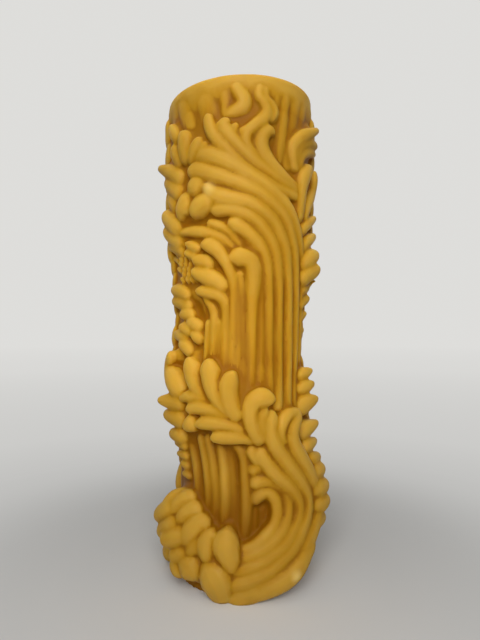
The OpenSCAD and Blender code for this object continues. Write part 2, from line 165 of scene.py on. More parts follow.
# Long strands of the upper wave: they rise as flutes on the right and break to the left
wave = [
    [(299, 410, 2.6, 1.5), (300, 375, 1.3, 1.5), (301, 345, 1.2, 1.5), (302, 320, 1.2, 1.6),
     (303, 290, 1.6, 1.7), (303.5, 262, 2.2, 1.7), (302, 240, 2.8, 1.8), (297, 220, 3.2, 1.8),
     (290, 206, 3.4, 1.8), (279, 194, 3.5, 1.9), (264, 182, 3.6, 2.0), (246, 171, 3.6, 2.2),
     (228, 161, 3.6, 2.6), (213, 155, 3.4, 2.9), (202, 154.5, 3.1, 2.6), (194, 158, 2.6, 1.4)],
    [(295, 416, 2.8, 1.5), (296.5, 380, 1.6, 1.6), (297.5, 350, 1.4, 1.6), (298.5, 310, 1.6, 1.7),
     (298.5, 280, 2.0, 1.8), (297.5, 255, 2.5, 1.8), (294, 235, 2.9, 1.9), (288, 218, 3.3, 1.9),
     (278, 205, 3.5, 1.9), (266, 195, 3.7, 2.0), (250, 185, 3.8, 2.0), (230, 177.5, 3.8, 2.0),
     (210, 172, 3.7, 2.3), (196, 169.5, 3.5, 2.3), (185, 170.5, 3.1, 1.5)],
    [(289, 420, 4.0, 1.8), (290, 382, 2.6, 1.8), (291, 350, 1.8, 1.7), (291, 300, 1.7, 1.8),
     (290.5, 275, 2.1, 1.8), (288, 250, 2.5, 1.9), (282, 232, 2.9, 1.9), (274, 218, 3.2, 1.9),
     (262, 207, 3.5, 2.0), (248, 200, 3.6, 2.1), (232, 197, 3.8, 2.2), (217, 194, 3.9, 2.3),
     (208.5, 190, 3.9, 1.9), (203.5, 183.5, 3.8, 0.9)],
    [(279, 412, 4.4, 1.9), (279.5, 380, 3.0, 1.9), (280, 350, 2.0, 1.7), (280.5, 310, 1.6, 1.7),
     (280.5, 280, 1.8, 1.7), (278, 255, 2.2, 1.7), (272.5, 239, 2.5, 1.8), (265, 227, 2.8, 1.8),
     (256, 217.5, 3.0, 1.9), (245, 211, 3.2, 1.9), (232, 207, 3.3, 1.9), (220, 206.5, 3.3, 1.9),
     (209, 209.5, 3.0, 1.5)],
    [(269, 410, 4.6, 1.9), (269.5, 378, 3.2, 1.9), (270, 350, 2.1, 1.7), (270, 300, 1.6, 1.6),
     (269, 270, 1.8, 1.7), (266, 254, 2.0, 1.7), (260, 242.5, 2.3, 1.8), (252, 233.5, 2.6, 1.8),
     (243, 226.5, 2.8, 1.9), (234, 222, 2.9, 1.8), (227, 222, 2.6, 1.1)],
    [(260, 410, 4.6, 1.7), (260.5, 376, 3.1, 1.7), (261, 350, 2.0, 1.5), (261.5, 300, 1.3, 1.3),
     (260.5, 275, 1.3, 1.2), (258, 258, 1.3, 1.1), (252, 246, 1.3, 1.0), (243, 236, 1.3, 0.8)],
    [(249, 412, 4.8, 2.0), (250.5, 374, 3.2, 2.0), (251.5, 350, 2.4, 1.8), (252.5, 310, 2.0, 1.9),
     (253.5, 285, 2.3, 2.0), (253.5, 270, 2.6, 2.2), (250.5, 261.5, 2.7, 2.2), (244, 257, 2.9, 2.2),
     (236, 256, 2.9, 2.1), (229, 257, 2.6, 1.4)],
    [(241, 412, 4.8, 1.7), (242, 372, 3.2, 1.7), (243, 350, 2.2, 1.5), (243, 310, 1.4, 1.4),
     (242, 285, 1.3, 1.3), (240, 270, 1.1, 1.0)],
    [(235, 405, 4.6, 1.6), (236.5, 366, 3.1, 1.5), (238, 330, 1.8, 1.3), (238, 290, 1.1, 1.1),
     (236, 275, 0.8, 0.8)],
]

# Inner curl under the wave, breaking to the left above a deep hollow
curl = [
    [(243, 249, 1.0, 1.0), (237, 240, 1.3, 1.2), (228, 230.5, 1.6, 1.3), (217, 224.5, 1.7, 1.2),
     (206, 222, 1.6, 0.8)],
    [(236, 251, 0.9, 1.1), (229, 243.5, 1.3, 1.3), (218, 236.5, 1.7, 1.5), (204, 232, 1.9, 1.6),
     (190, 231, 2.0, 1.4), (176, 233, 2.0, 0.8)],
    [(229, 408, 4.8, 1.7), (231, 362, 3.1, 1.7), (232, 330, 2.0, 1.6), (233, 300, 1.4, 1.5),
     (232, 280, 1.5, 1.6), (228, 267, 1.9, 1.7), (222, 256.5, 2.3, 1.9), (214.5, 248.5, 2.7, 2.0),
     (207, 244.5, 2.9, 1.9), (199, 244, 2.6, 1.1)],
    [(198, 249, 2.0, 1.0), (190, 246, 2.2, 1.3), (184, 243, 2.0, 0.7)],
    [(211, 268, 1.4, 1.2), (204, 262, 2.1, 1.7), (197, 260, 2.3, 1.7), (190.5, 260, 2.1, 0.9)],
    [(196, 257, 1.8, 0.9), (188, 254.5, 2.0, 1.2), (183, 252, 1.8, 0.6)],
    [(226, 292, 1.2, 1.5), (221, 286, 1.9, 2.1), (213, 280, 2.4, 2.4), (204, 276, 2.7, 2.3),
     (195, 273, 2.6, 1.8), (189.5, 271, 2.3, 0.9)],
    [(222, 402, 4.8, 1.7), (224, 360, 3.1, 1.7), (224.5, 330, 2.0, 1.6), (224.5, 312, 1.5, 1.5),
     (222, 301, 1.6, 1.8), (216, 294.5, 2.0, 1.9), (208, 292, 2.2, 1.8), (200, 291, 2.1, 1.5),
     (194, 291, 1.8, 0.8)],
    [(212, 394, 4.4, 1.6), (213, 355, 2.7, 1.6), (213.5, 325, 1.7, 1.5), (212, 311, 1.0, 1.4),
     (208, 303, 1.0, 1.2), (203, 298, 0.9, 0.8)],
    [(218, 392, 4.4, 1.4), (218.5, 355, 2.7, 1.3), (219, 320, 1.4, 1.0)],
    [(205, 386, 3.8, 1.4), (206, 350, 2.2, 1.3), (207, 320, 0.9, 0.9)],
]

# Broad lobes: the crest of the wave on the left, the leaf above it, and the small ones round the hollow
crestLobes = [
    [(207, 189, 3.0, 2.2), (195, 185, 3.8, 3.3), (184, 187, 3.5, 2.4)],
    [(190, 193, 3.0, 2.4), (182, 201, 3.8, 3.2), (177, 210, 3.9, 3.1), (177.5, 220, 3.3, 1.8)],
    [(215, 198, 3.6, 2.2), (203, 200, 4.1, 2.8), (194, 206, 4.0, 2.8), (188, 215, 3.4, 1.8)],
    [(184, 164, 2.4, 1.7), (180.5, 150, 3.1, 2.5), (179.5, 139, 3.1, 2.7), (178, 131, 2.6, 1.5)],
    [(179, 165, 2.4, 1.7), (172, 154, 3.0, 2.4), (169.5, 146, 2.8, 1.6)],
    [(187, 164, 2.2, 1.6), (192, 149, 2.8, 2.2), (197, 136, 2.5, 1.4)],
    [(192, 164, 2.0, 1.4), (199.5, 151, 2.4, 1.9), (205, 141, 2.1, 1.1)],
    [(176, 141, 2.4, 1.7), (170, 133, 2.8, 1.9), (168, 126, 2.4, 1.1)],
    [(199, 331, 1.5, 1.5), (192, 325, 2.2, 1.8), (185, 321, 2.0, 1.2)],
    [(200, 344, 1.5, 1.4), (195, 338, 2.2, 1.7), (189, 333, 2.2, 1.2)],
    [(190, 334, 2.2, 1.4), (183, 329, 2.6, 1.7), (177, 327, 2.8, 1.0)],
    [(192, 317, 1.4, 1.2), (184, 314, 2.0, 1.7), (178, 315, 2.0, 1.0)],
    [(190, 356, 2.4, 1.5), (182, 347, 3.0, 2.0), (177, 343, 3.0, 1.1)],
]

# Leaf lobes at the right edge, from the neck down to the foot
rightLobes = [
    [(298, 172, 1.8, 1.4), (297, 152, 2.2, 1.7), (301, 142, 3.0, 2.0), (309, 135, 3.8, 1.8),
     (320, 130.5, 4.6, 0.8)],
    [(298, 168, 1.6, 1.2), (303, 148, 2.8, 1.6), (311, 142.5, 3.4, 1.6), (318, 147, 3.4, 0.9)],
    [(300, 176, 1.6, 1.1), (304, 158, 2.6, 1.4), (310, 152, 3.0, 1.3), (316, 155, 3.0, 0.8)],
    [(302, 222, 2.4, 1.5), (304, 205, 3.0, 2.3), (306, 188, 3.4, 2.7), (310, 175, 3.8, 2.5),
     (314, 167, 3.6, 1.4)],
    [(306, 222, 2.2, 1.3), (311, 207, 2.8, 2.0), (316, 193, 3.3, 2.2), (318, 181, 3.5, 1.8),
     (317, 171, 3.3, 1.0)],
    [(302, 233, 2.4, 1.6), (309, 226, 3.0, 1.8), (317, 218, 3.6, 0.8)],
    [(303, 251, 2.4, 1.8), (310, 243, 3.2, 2.1), (317, 236, 3.6, 1.0)],
    [(303, 268, 2.6, 2.2), (313, 260, 4.4, 3.0), (321, 255, 5.0, 1.5)],
    [(303, 281, 2.6, 2.2), (314, 273, 4.6, 3.0), (323, 269, 5.2, 1.6)],
    [(303, 291, 2.0, 1.8), (311, 285, 3.2, 2.4), (318, 281, 3.8, 1.3)],
    [(301, 309, 1.4, 1.4), (306, 302, 2.2, 1.8), (311, 298, 2.6, 1.0)],
    [(300, 324, 1.0, 1.3), (304, 317, 1.6, 1.6), (308, 313, 2.0, 0.9)],
    [(299, 340, 0.8, 1.2), (302, 333, 1.2, 1.5), (305, 329, 1.4, 0.8)],
    [(298, 384, 1.6, 1.6), (306, 376, 3.6, 2.2), (314, 370, 5.2, 0.8)],
    [(299, 398, 2.2, 1.8), (307, 390, 4.2, 2.4), (316, 383, 5.6, 0.9)],
    [(299, 414, 3.0, 2.2), (309, 406, 5.0, 3.0), (320, 398, 6.4, 1.0)],
    [(304, 438, 4.4, 1.8), (311, 431, 5.6, 2.4), (320, 422, 6.6, 1.0)],
    [(306, 454, 5.0, 1.6), (312, 447, 6.0, 2.0), (318, 440, 6.4, 1.0)],
    [(309, 468, 5.8, 1.8), (316, 462, 7.2, 2.3), (322, 456, 8.0, 1.3)],
    [(311, 481, 6.8, 2.2), (320, 474, 8.6, 2.6), (327, 468, 9.6, 1.8)],
    [(315, 497, 8.0, 2.4), (324, 490, 9.8, 2.8), (331, 484, 11.0, 1.9)],
    [(317, 513, 8.4, 2.4), (326, 505, 10.2, 2.8), (332, 499, 11.2, 1.9)],
    [(315, 529, 8.4, 2.2), (322, 522, 9.2, 2.4), (327, 516, 9.8, 1.7)],
]

# Leaf lobes at the left edge
leftLobes = [
    [(180, 182, 2.6, 2.4), (170, 174, 3.3, 2.5), (157, 168.5, 4.2, 0.9)],
    [(181, 198, 2.6, 2.6), (172, 190, 3.2, 2.8), (163, 182, 3.6, 1.8)],
    [(177, 211, 2.6, 2.6), (171, 204, 3.0, 2.8), (166, 197, 3.1, 1.8)],
    [(179, 231, 2.8, 3.0), (169, 224, 3.8, 3.4), (160, 216, 4.4, 2.0)],
    [(180, 243, 2.2, 2.4), (169, 237, 3.3, 3.0), (161, 231, 3.9, 1.8)],
    [(182, 252, 1.4, 1.4), (175, 248, 2.0, 1.8), (168, 247, 2.6, 1.1)],
    [(187, 297, 1.4, 1.5), (178, 292, 2.0, 2.1), (170, 290, 2.6, 1.2)],
    [(189, 308, 1.2, 1.5), (179, 303, 1.8, 2.1), (171, 301, 2.4, 1.2)],
    [(187, 342, 2.0, 1.5), (180, 337, 2.6, 2.1), (173, 334, 2.8, 1.1)],
    [(181, 398, 4.4, 2.4), (168, 386, 6.4, 3.2), (164, 368, 6.0, 2.9), (168, 353, 5.4, 1.3)],
    [(181, 404, 4.4, 2.0), (169, 402, 6.0, 2.5), (156, 400, 7.4, 0.9)],
    [(182, 422, 4.0, 1.8), (171, 418, 5.4, 2.5), (162, 414, 6.2, 1.3)],
    [(183, 439, 3.0, 1.8), (175, 436, 4.2, 2.2), (168, 433, 5.0, 1.3)],
    [(184, 447, 2.2, 1.2), (178, 444, 2.7, 1.3), (174, 442, 3.0, 0.8)],
    [(186, 458, 1.6, 1.0), (181, 455, 2.0, 1.1), (176, 453, 2.4, 0.7)],
    [(187, 468, 1.2, 1.0), (183, 465, 1.6, 1.1), (179, 463, 1.9, 0.7)],
    [(189, 478, 1.0, 1.0), (185, 475, 1.3, 1.1), (181, 473, 1.6, 0.7)],
]

# Leaf that climbs from the lower right across the front
leaf = [
    [(206, 402, 4.2, 1.5), (195, 390, 5.0, 2.4), (189, 379, 5.4, 3.0), (186, 367, 5.5, 3.1),
     (185.5, 357, 5.2, 1.6)],
    [(230, 414, 4.8, 1.4), (219, 403.5, 5.5, 1.9), (212, 393, 5.9, 2.4), (208, 381, 6.2, 2.8),
     (206.5, 369, 6.3, 2.9), (207.5, 359, 6.0, 1.5)],
    [(242, 420, 5.0, 1.7), (233, 410, 5.8, 2.6), (228.5, 400, 6.2, 2.8), (227.5, 389, 6.4, 2.5),
     (230, 379, 6.5, 2.1), (234.5, 372, 6.3, 1.0)],
    [(264, 445, 4.8, 1.9), (257, 433, 5.4, 2.2), (252.5, 421, 6.0, 2.4), (252.5, 410, 6.4, 2.5),
     (257, 402.5, 6.7, 2.6), (266, 399, 6.8, 2.5), (277, 400.5, 6.6, 1.2)],
    [(270, 440, 4.8, 1.4), (264, 428, 5.4, 1.9), (263, 417, 5.8, 2.0), (268, 408, 6.0, 1.5)],
    [(302, 412, 5.2, 1.1), (292, 415.5, 5.8, 1.6), (286, 424, 6.0, 1.8), (283.5, 435, 5.8, 1.6),
     (287, 446, 5.6, 1.2)],
    [(210, 403, 4.2, 1.5), (198, 397.5, 4.8, 1.8), (188, 396.5, 5.0, 1.7), (178, 398.5, 4.8, 0.9)],
    [(230, 418, 4.4, 1.4), (217, 412, 4.8, 1.9), (206, 408.5, 5.1, 2.1), (195, 407.5, 5.2, 2.0),
     (184, 410, 4.8, 1.0)],
    [(195, 421, 4.2, 1.6), (187, 424, 5.0, 2.2), (181, 428, 4.6, 1.2)],
    [(245, 432, 4.2, 1.3), (230, 425.5, 4.6, 1.9), (218, 423, 4.8, 2.2), (205, 423, 4.9, 2.0),
     (194, 425.5, 4.4, 1.0)],
    [(256, 441, 3.8, 1.3), (243, 438, 4.2, 1.8), (231, 437.5, 4.4, 2.0), (219, 438, 4.4, 1.8),
     (209, 439, 3.8, 0.9)],
]

# Scroll at the foot: strands that leave the leaf, turn down the right side and run back under it
scroll = [
    [(303.5, 414, 5.6, 1.0), (299, 424, 6.2, 1.8), (296.5, 435, 6.4, 1.9), (299, 447, 6.8, 2.0),
     (307, 461, 7.4, 2.1), (316, 477, 8.2, 2.2), (322, 491, 8.8, 2.3), (324, 505, 9.2, 2.4),
     (322, 520, 9.2, 2.4), (317, 535, 8.8, 2.4), (310, 550, 8.4, 2.3), (302, 563, 7.8, 2.2),
     (292, 575, 7.2, 2.2), (275, 586, 6.4, 2.4), (255, 594, 5.6, 2.6), (240, 599, 5.0, 2.6),
     (226, 601, 4.4, 1.8)],
    [(275, 411, 5.4, 1.0), (273, 421, 5.8, 1.9), (273, 431, 5.8, 2.0), (277, 442, 5.9, 1.9),
     (285, 455, 6.1, 1.9), (296, 470, 6.6, 2.0), (306, 484, 7.2, 2.1), (311.5, 497, 7.6, 2.2),
     (312, 511, 7.8, 2.2), (308, 527, 7.7, 2.2), (301, 544, 7.4, 2.2), (290, 559, 7.0, 2.1),
     (275, 572, 6.5, 2.0), (257, 581, 6.0, 2.0), (238, 586, 5.6, 2.0), (222, 588, 5.0, 1.6)],
    [(259, 449, 4.2, 1.4), (268, 462, 4.8, 1.7), (280, 475, 5.4, 1.8), (291, 484, 5.9, 1.8),
     (299, 494, 6.3, 1.8), (303, 505, 6.6, 1.8), (302, 518, 6.7, 1.8), (296, 534, 6.6, 1.9),
     (287, 548, 6.4, 1.9), (273, 560, 6.1, 1.9), (256, 569, 5.8, 1.9), (238, 574, 5.4, 1.9),
     (222, 576, 4.8, 1.5)],
    [(253, 489, 2.6, 1.0), (260, 483, 3.2, 1.7), (270, 481, 3.8, 1.9), (280, 484, 4.4, 1.8),
     (288, 491, 4.9, 1.7), (292, 503, 5.3, 1.6), (291, 517, 5.5, 1.6), (285, 533, 5.6, 1.7),
     (275, 546, 5.5, 1.8), (260, 556, 5.3, 1.8), (241, 563, 5.0, 1.8), (224, 565, 4.4, 1.4)],
    [(256, 506, 2.0, 0.9), (259, 499, 2.6, 1.4), (266, 493.5, 3.2, 1.7), (273, 494, 3.7, 1.7),
     (279, 501, 4.1, 1.6), (281, 513, 4.4, 1.5), (278, 527, 4.5, 1.5), (269, 540, 4.6, 1.6),
     (257, 550, 4.5, 1.6), (243, 555, 4.4, 1.6), (230, 557, 4.0, 1.2)],
    [(253.5, 478, 2.4, 1.0), (257, 471, 3.0, 1.5), (264, 467, 3.6, 1.7), (273, 468, 4.2, 1.6),
     (282, 475, 4.8, 1.1)],
    [(250, 447, 3.2, 1.1), (258, 459, 3.6, 1.3), (266, 465, 4.0, 1.0)],
    [(318, 540, 8.8, 1.8), (311, 556, 8.8, 2.1), (303, 571, 8.8, 2.2), (291, 582, 8.0, 2.2),
     (274, 590, 6.8, 2.2), (254, 596, 5.4, 2.0), (240, 599, 4.6, 1.6)],
]

# Round lobes gathered at the foot of the scroll
footLobes = [
    [(231, 577, 6.0, 2.2), (228, 564, 6.8, 3.2), (224, 552, 7.3, 3.6), (225, 541, 7.0, 3.1),
     (227, 531, 6.4, 1.3)],
    [(211, 566, 5.8, 2.2), (204, 556, 6.6, 2.8), (203, 547, 6.7, 2.8), (208, 537, 6.2, 1.5),
     (213, 533, 5.6, 0.9)],
    [(201, 562, 6.4, 3.0), (206, 575, 7.4, 4.8), (213, 587, 7.4, 5.2), (217, 598, 6.2, 5.0),
     (219, 610, 5.2, 4.4)],
    [(194, 582, 6.2, 3.0), (184, 572, 7.4, 4.2), (175, 561, 7.6, 2.8)],
    [(208, 524, 4.4, 1.6), (196, 527, 5.8, 2.8), (185, 535, 6.9, 3.1), (178, 546, 6.6, 1.8)],
    [(200, 512, 3.6, 1.5), (189, 513, 5.0, 2.5), (179, 518, 6.1, 2.6), (173, 528, 6.3, 1.6)],
    [(201, 538, 5.4, 1.6), (191, 547, 6.4, 2.6), (184, 557, 6.4, 1.6)],
    [(194, 498, 2.6, 1.4), (182, 501, 4.6, 2.4), (171, 508, 6.5, 2.6), (165, 519, 7.0, 1.6)],
    [(191, 495, 2.0, 1.4), (180, 497, 3.8, 1.9), (169, 499, 6.4, 2.1), (160, 506, 8.2, 1.5)],
    [(187, 539, 6.2, 1.9), (173, 538, 8.0, 2.8), (157, 541, 9.8, 2.0)],
    [(188, 557, 6.2, 1.8), (177, 556, 7.4, 2.6), (166, 558, 8.0, 1.8)],
    [(176, 527, 6.8, 2.0), (165, 527, 8.2, 2.8), (155, 532, 9.2, 2.0)],
    [(171, 513, 6.8, 1.8), (161, 511, 8.4, 2.6), (152, 516, 9.8, 2.0)],
    [(180, 577, 6.2, 2.2), (172, 570, 7.2, 2.8), (167, 562, 7.4, 1.8)],
]

# Flutes in the hollow that the scroll runs round
hollowFlutes = [
    [(188, 436, 0.6, 1.2), (193, 462, 0.8, 1.4), (196, 488, 0.8, 1.4), (196, 506, 0.8, 1.2)],
    [(198, 434, 0.8, 1.3), (204, 462, 1.0, 1.5), (207, 490, 1.1, 1.6), (206, 515, 1.0, 1.3)],
    [(206, 434, 0.8, 1.2), (212, 465, 1.1, 1.5), (215, 495, 1.2, 1.6), (213, 520, 1.2, 1.5),
     (211, 530, 1.0, 1.2)],
    [(217, 436, 1.0, 1.2), (222, 462, 1.4, 1.6), (224, 485, 1.6, 1.7), (224, 505, 1.6, 1.7),
     (222, 532, 1.4, 1.4)],
    [(227, 438, 0.6, 1.2), (232, 480, 0.8, 1.4), (234, 510, 0.8, 1.4), (233, 545, 0.8, 1.3)],
    [(222, 438, 1.2, 1.1), (236, 446, 1.5, 1.5), (245, 460, 1.8, 1.8), (247, 488, 1.8, 1.9),
     (247, 510, 1.8, 1.9), (245, 530, 1.7, 1.8), (240, 552, 1.4, 1.3)],
    [(255, 508, 0.8, 1.1), (255, 525, 0.8, 1.2), (250, 545, 0.8, 1.1)],
    [(264, 506, 0.6, 1.0), (264, 525, 0.6, 1.1), (259, 543, 0.6, 1.0)],
]

# Deep places, which only lower the bed under the strands
hollows = [
    [(203, 255, -1.5, 1.8), (213, 265, -2.0, 2.0), (222, 279, -1.5, 1.6)],
    [(192, 303, -1.5, 1.8), (199, 308, -2.5, 2.2), (202, 318, -2.0, 1.8), (202, 345, -1.0, 1.6)],
    [(308, 159, -1.5, 1.5), (309, 163, -1.5, 1.5)],
    [(200, 443, -1.0, 2.0), (225, 450, -1.0, 1.6), (236, 462, -0.8, 1.4)],
    [(262, 512, -1.0, 1.8), (262, 535, -1.0, 1.8)],
]

# Small scales on the left below the crest, in columns and rows of the photograph
scales = dict(
    columns=(169, 174, 179, 184),
    rows=range(240, 284, 5),
    drift=0.3,            # columns to the right for each row further down
    stagger=3,            # every other row starts this much further right
    # foot and tip: columns and rows from the middle, rise and half width
    sections=[(3, 2, 0.65, 0.9), (-2, -2, 1.3, 0.63)],
)

# Fern-like fronds at the sides, where the front carving meets the one behind:
# (degrees, heights of foot and tip, pairs of leaflets, rise at foot and tip, half width)
fronds = [
    (-98, (2, 22), 3, (6.5, 5.0), 6.4), (-99, (25, 51), 3, (0.6, 3.4), 6.2),
    (-98, (48, 80), 5, (5.4, 3.0), 6.4), (-98, (78, 105), 4, (2.0, 2.6), 6.0),
    (-97, (103, 150), 6, (3.4, 2.6), 6.6),
    (97, (4, 52), 7, (6.0, 4.4), 6.4), (97, (50, 70), 3, (4.4, 1.4), 6.0),
    (97, (70, 102), 5, (1.2, 2.4), 6.0), (97, (100, 150), 6, (3.2, 2.6), 6.6),
]
midrib = dict(
    rise=0.8,             # as a share of the frond's rise
    halves=(0.3, 0.2),    # at foot and tip, as shares of the frond's half width
)
leaflet = dict(
    reach=1.1,            # across, as a share of the frond's half width
    lift=1.25,            # upwards, as a share of the distance between pairs
    half=0.62,            # half width, as a share of that distance
    # from the midrib to the tip: shares of the reach, the lift, the frond's rise and the half width
    sections=[(0, 0, 0.8, 0.5), (0.5, 0.4, 1, 1), (1, 1, 0.7, 0.6)],
)

# Rings of equal lobes where nothing is drawn: flutes, and blunt leaves round the foot that are low
# beside the scroll
neckRibs = dict(turns=range(84, 280, 14), heights=(42, 107.4, 151), rises=(1.0, 1.0, 0.2),
                halves=(2.9, 2.9, 2.03))
lowLeaves = dict(turns=(66, 79), heights=(-1, 7, 14), rises=(1.44, 1.84, 0.96), halves=(3.2, 3.4, 1.6))
footLeaves = dict(turns=range(92, 262, 13), heights=(-1, 7, 14), rises=(3.6, 4.6, 2.4),
                  halves=(3.2, 3.4, 1.6))

# The second carving starts a little before half a turn, behind the slim left edge, and is shallower
back = dict(turn=165, rise=0.93, edgeRise=4.5)


def scaleLobes():
    lobes = []
    for k, row in enumerate(scales["rows"]):
        for column in scales["columns"]:
            x = column + scales["stagger"] * (k % 2) + scales["drift"] * (row - scales["rows"][0])
            lobes.append([(x + across, row + down, rise, half)
                          for across, down, rise, half in scales["sections"]])
    return lobes


def frondLobes(turn, heights, pairs, rises, half):
    # a midrib with pairs of leaflets that reach up and out from it
    lobes = [[(turn, height, midrib["rise"] * rise, share * half)
              for height, rise, share in zip(heights, rises, midrib["halves"])]]
    pitch = (heights[1] - heights[0]) / pairs
    for i in range(pairs):
        foot = heights[0] + i * pitch
        rise = float(np.interp(i, (0, pairs), rises))
        across = math.degrees(half * leaflet["reach"] / (ground(foot) + rise))
        for side in (-1, 1):
            lobes.append([(turn + out * side * across, foot + up * leaflet["lift"] * pitch, high * rise,
                           wide * leaflet["half"] * pitch) for out, up, high, wide in leaflet["sections"]])
    return lobes


def ringLobes(ring):
    sections = list(zip(ring["heights"], ring["rises"], ring["halves"]))
    return [[(turn, *section) for section in sections] for turn in ring["turns"]]


def turnedBack(strands, share=1):
    return [[(turn + back["turn"], z, share * rise, half) for turn, z, rise, half in points]
            for points in strands]


# The strands are swept over the shaft, cast together as one skin, smoothed and thinned
carver = dict(
    # strands press against each other, so they are wider than they show
    fullness=dict(flame=1.2, strand=1.25, wave=1.42, scroll=1.7, lobe=1.3),
    step=0.9,             # distance between sections along a strand
    sides=14,             # corners of a section
    crown=0.8,            # height of the rounded top as a share of the half width
    leastRise=0.3,        # a lower strand is rounded as one of this rise
    crownRoot=0.4,        # the rounded top may start this far inside the shaft
    sideCurve=0.3,        # under 1 the sides below the rounded top are nearly upright
    endInset=0.15,        # the last section counts as this far from the end, so that it has a width
    endLeast=0.3,         # an end is rounded over at least this length
    endDrop=0.6,          # how far the crest sinks at an end, as a share of the half width
    voxel=0.42,
    smoothPasses=2,
    smoothShare=0.5,
    triangles=190000,
    sharp=55,             # degrees, for the edges of the base and the bore
)


def smoothPath(points):
    drawn = np.array(points, float)
    ends = np.vstack([2 * drawn[0] - drawn[1], drawn, 2 * drawn[-1] - drawn[-2]])
    samples = []
    for i in range(len(drawn) - 1):
        p0, p1, p2, p3 = ends[i:i + 4]
        perDegree = math.radians(1) * (ground(p1[1]) + p1[2])
        length = math.hypot((p2[0] - p1[0]) * perDegree, p2[1] - p1[1])
        count = max(2, math.ceil(length / carver["step"]))
        for t in np.linspace(0, 1, count, endpoint=False):
            samples.append(0.5 * (2 * p1 + (p2 - p0) * t + (2 * p0 - 5 * p1 + 4 * p2 - p3) * t ** 2
                                  + (3 * p1 - p0 - 3 * p2 + p3) * t ** 3))
    samples.append(drawn[-1])
    return np.array(samples)


def meshOf(bm, name):
    mesh = bpy.data.meshes.new(name)
    bm.to_mesh(mesh)
    bm.free()
    return mesh


def joinInto(target, bm):
    bmesh.ops.recalc_face_normals(bm, faces=bm.faces[:])
    mesh = meshOf(bm, "joined")
    target.from_mesh(mesh)
    bpy.data.meshes.remove(mesh)


def spun(profile, segments, merge):
    # a profile of (radius, height) in metres, turned round the candle's axis
    bm = bmesh.new()
    verts = [bm.verts.new((r, 0, z)) for r, z in profile]
    edges = [bm.edges.new(pair) for pair in zip(verts, verts[1:])]
    bmesh.ops.spin(bm, geom=verts + edges, cent=(0, 0, 0), axis=(0, 0, 1), angle=math.tau,
                   steps=segments, use_merge=True)
    bmesh.ops.remove_doubles(bm, verts=bm.verts[:], dist=merge)
    return bm


def placeSection(verts, angleLayer, sample, way, narrow):
    turn, height, rise, full = sample
    half = full * narrow
    base = ground(height)
    crest = base + rise - carver["endDrop"] * full * (1 - narrow)
    crown = min(carver["crown"] * half, max(rise, carver["leastRise"]) + carver["crownRoot"])
    shoulder = crest - crown
    root = base - shaft["rootDepth"]
    perMm = math.degrees(1 / crest)
    for v in verts:
        c, s = math.cos(v[angleLayer]), math.sin(v[angleLayer])
        if s >= 0:
            side = half * c
            radius = shoulder + crown * s
        else:  # below the shoulders the sides drop into the shaft
            side = half * math.copysign(abs(c) ** carver["sideCurve"], c)
            radius = shoulder + (shoulder - root) * s
        v.co = wrap(turn + side * way[1] * perMm, height - side * way[0], radius)


def carveStrand(target, points):
    path = smoothPath(points)
    perDegree = np.radians(1) * np.array([ground(p[1]) + p[2] for p in path])
    flat = np.column_stack([path[:, 0] * perDegree.mean(), path[:, 1]])
    ways = np.gradient(flat, axis=0)
    ways /= np.linalg.norm(ways, axis=1)[:, None]
    along = np.concatenate([[0], np.cumsum(np.linalg.norm(np.diff(flat, axis=0), axis=1))])
    bm = bmesh.new()
    angleLayer = bm.verts.layers.float.new("angle")
    ring = bmesh.ops.create_circle(bm, cap_ends=True, segments=carver["sides"], radius=1)["verts"]
    for v in ring:
        v[angleLayer] = math.atan2(v.co.y, v.co.x)
    face = bm.faces[:][0]
    for i, sample in enumerate(path):
        fromEnd = min(along[i], along[-1] - along[i]) + carver["endInset"]
        share = min(1, fromEnd / max(sample[3], carver["endLeast"]))
        narrow = math.sqrt(1 - (1 - share) ** 2)
        if i:
            grown = bmesh.ops.extrude_face_region(bm, geom=[face])["geom"]
            face = next(g for g in grown if isinstance(g, bmesh.types.BMFace))
        placeSection(face.verts, angleLayer, sample, ways[i], narrow)
    joinInto(target, bm)


# The ground between neighbouring strands rises with them. It is a sheet of rows up the shaft and
# columns round it.
bed = dict(
    groove=1.5,           # how far it lies below the crests
    lowest=-0.3,
    spread=1.4,
    rows=330,
    columns=720,
    margin=4,             # the sheet reaches this far past the base and the rim
    faint=0.05,           # share of the greatest weight below which it sinks back to the shaft
)
bedSpan = shaftTop + 2 * bed["margin"]


def softened(field, reach, axis):
    edge = 3 * int(reach)  # further off the weights are next to nothing
    span = np.arange(-edge, edge + 1)
    weights = np.exp(-0.5 * (span / reach) ** 2)
    result = np.zeros_like(field)
    for step, weight in zip(span, weights / weights.sum()):
        result += weight * np.roll(field, step, axis)
    return result


def softenedSheet(sheet, spread, span):
    rows, columns = sheet.shape
    return softened(softened(sheet, spread / (span / rows), 0), spread / (girth / columns), 1)


def bedCell(turn, z):
    row = (z + bed["margin"]) / bedSpan * bed["rows"]
    return int(min(max(row, 0), bed["rows"] - 1)), int(turn % 360 / 360 * bed["columns"])


def bedUnder(strands):
    # a softened mean of the strands' heights, to be asked for at a place on the sheet
    heights = np.zeros((bed["rows"], bed["columns"]))
    weights = np.zeros_like(heights)
    for points in strands:
        for turn, z, rise, half in smoothPath(points):
            under = max(rise - bed["groove"], bed["lowest"]) if rise > 0 else rise
            cell = bedCell(turn, z)
            heights[cell] += half * under
            weights[cell] += half
    heights = softenedSheet(heights, bed["spread"], bedSpan)
    weights = softenedSheet(weights, bed["spread"], bedSpan)
    level = heights / (weights + bed["faint"] * weights.max())
    return lambda turn, z: level[bedCell(turn, z)]


